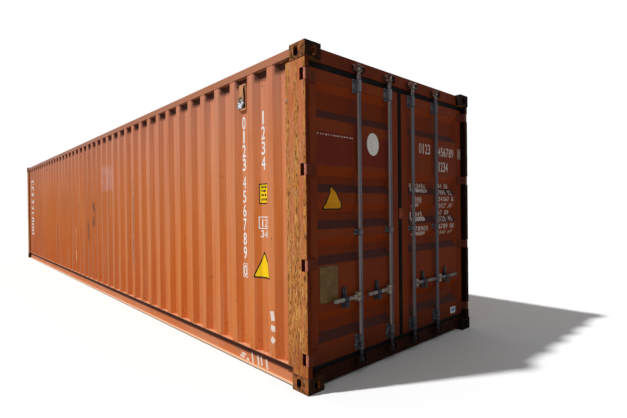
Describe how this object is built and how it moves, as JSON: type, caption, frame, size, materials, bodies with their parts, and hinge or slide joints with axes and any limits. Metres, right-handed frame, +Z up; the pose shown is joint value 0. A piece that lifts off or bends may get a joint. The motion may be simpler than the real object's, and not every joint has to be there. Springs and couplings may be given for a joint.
{
  "type": "shipping container",
  "caption": "Long steel freight box with corrugated walls, pressed double end doors with locking rods, hollow corner castings and a plywood floor.",
  "frame": {"origin": "centre of the base, at the level that the bottom castings stand on", "axes": "+X along the container towards the doors, +Y towards the right side seen from outside the doors, +Z up"},
  "size_m": [12.192, 2.438, 2.591],
  "materials": {
    "side_paint": "sun-faded orange-brown paint, scratched, rust at the seams",
    "frame_paint": "dull red-brown paint with rust bloom",
    "post_paint": "paint mostly eaten through by ochre rust",
    "casting_steel": "rough cast steel, rusted",
    "under_paint": "black underseal",
    "floor_wood": "worn plywood",
    "door_paint": "dark red-brown paint, scratched",
    "seal_rubber": "matt black rubber, perished",
    "hinge_steel": "painted forging, rusty",
    "keeper_steel": "painted forging, rusty",
    "zinc_steel": "galvanised tube, dulled",
    "bracket_steel": "galvanised pressing",
    "handle_steel": "galvanised forging",
    "vent_shell": "faded cover, torn at one edge",
    "data_brass": "tarnished blank plate",
    "centre_plate_paint": "painted plate over the centre seal"
  },
  "bodies": {
    "container": {"corner_castings_top": "casting_steel", "corner_castings_bottom": "casting_steel", "roof_panel": "side_paint", "blind_end_wall": "side_paint", "door_header": "frame_paint", "door_sill": "frame_paint", "blind_end_header": "frame_paint", "blind_end_sill": "frame_paint", "floor_boards": "floor_wood", "cross_members": "under_paint", "gooseneck_tunnel": "under_paint", "ventilators": "vent_shell", "cam_keepers": "keeper_steel", "left_door_post": "post_paint", "left_blind_post": "post_paint", "left_top_rail": "frame_paint", "left_bottom_rail": "frame_paint", "left_side_wall": "side_paint", "right_door_post": "post_paint", "right_blind_post": "post_paint", "right_top_rail": "frame_paint", "right_bottom_rail": "frame_paint", "right_side_wall": "side_paint"},
    "left_door": {"left_door_frame": "door_paint", "left_door_panel": "door_paint", "left_door_seal": "seal_rubber", "left_door_hinges": "hinge_steel", "left_rod_brackets": "bracket_steel", "left_handle_retainers": "handle_steel", "left_data_plate": "data_brass"},
    "right_door": {"right_door_frame": "door_paint", "right_door_panel": "door_paint", "right_door_seal": "seal_rubber", "right_door_hinges": "hinge_steel", "right_rod_brackets": "bracket_steel", "right_handle_retainers": "handle_steel", "right_centre_plate": "centre_plate_paint"},
    "left_inner_rod": {"left_inner_lock_rod": "zinc_steel"},
    "left_inner_handle": {"left_inner_handle": "handle_steel"},
    "left_outer_rod": {"left_outer_lock_rod": "zinc_steel"},
    "left_outer_handle": {"left_outer_handle": "handle_steel"},
    "right_inner_rod": {"right_inner_lock_rod": "zinc_steel"},
    "right_inner_handle": {"right_inner_handle": "handle_steel"},
    "right_outer_rod": {"right_outer_lock_rod": "zinc_steel"},
    "right_outer_handle": {"right_outer_handle": "handle_steel"}
  },
  "joints": [
    {"name": "left_door_swing", "type": "hinge", "parent": "container", "child": "left_door", "pos_m": [6.075, -1.198, 1.3], "axis": [0, 0, -1], "range_deg": [0, 265]},
    {"name": "right_door_swing", "type": "hinge", "parent": "container", "child": "right_door", "pos_m": [6.075, 1.198, 1.3], "axis": [0, 0, 1], "range_deg": [0, 265]},
    {"name": "left_inner_rod_turn", "type": "hinge", "parent": "left_door", "child": "left_inner_rod", "pos_m": [6.066, -0.17848, 1.3], "axis": [0, 0, -1], "range_deg": [-110, 0]},
    {"name": "left_inner_handle_lift", "type": "hinge", "parent": "left_inner_rod", "child": "left_inner_handle", "pos_m": [6.066, -0.21148, 0.63205], "axis": [1, 0, 0], "range_deg": [-20, 0]},
    {"name": "left_outer_rod_turn", "type": "hinge", "parent": "left_door", "child": "left_outer_rod", "pos_m": [6.066, -0.59501, 1.3], "axis": [0, 0, -1], "range_deg": [-110, 0]},
    {"name": "left_outer_handle_lift", "type": "hinge", "parent": "left_outer_rod", "child": "left_outer_handle", "pos_m": [6.066, -0.62801, 0.63205], "axis": [1, 0, 0], "range_deg": [-20, 0]},
    {"name": "right_inner_rod_turn", "type": "hinge", "parent": "right_door", "child": "right_inner_rod", "pos_m": [6.066, 0.17848, 1.3], "axis": [0, 0, 1], "range_deg": [-110, 0]},
    {"name": "right_inner_handle_lift", "type": "hinge", "parent": "right_inner_rod", "child": "right_inner_handle", "pos_m": [6.066, 0.21148, 0.63205], "axis": [-1, 0, 0], "range_deg": [-20, 0]},
    {"name": "right_outer_rod_turn", "type": "hinge", "parent": "right_door", "child": "right_outer_rod", "pos_m": [6.066, 0.59501, 1.3], "axis": [0, 0, 1], "range_deg": [-110, 0]},
    {"name": "right_outer_handle_lift", "type": "hinge", "parent": "right_outer_rod", "child": "right_outer_handle", "pos_m": [6.066, 0.62801, 0.63205], "axis": [-1, 0, 0], "range_deg": [-20, 0]}
  ]
}
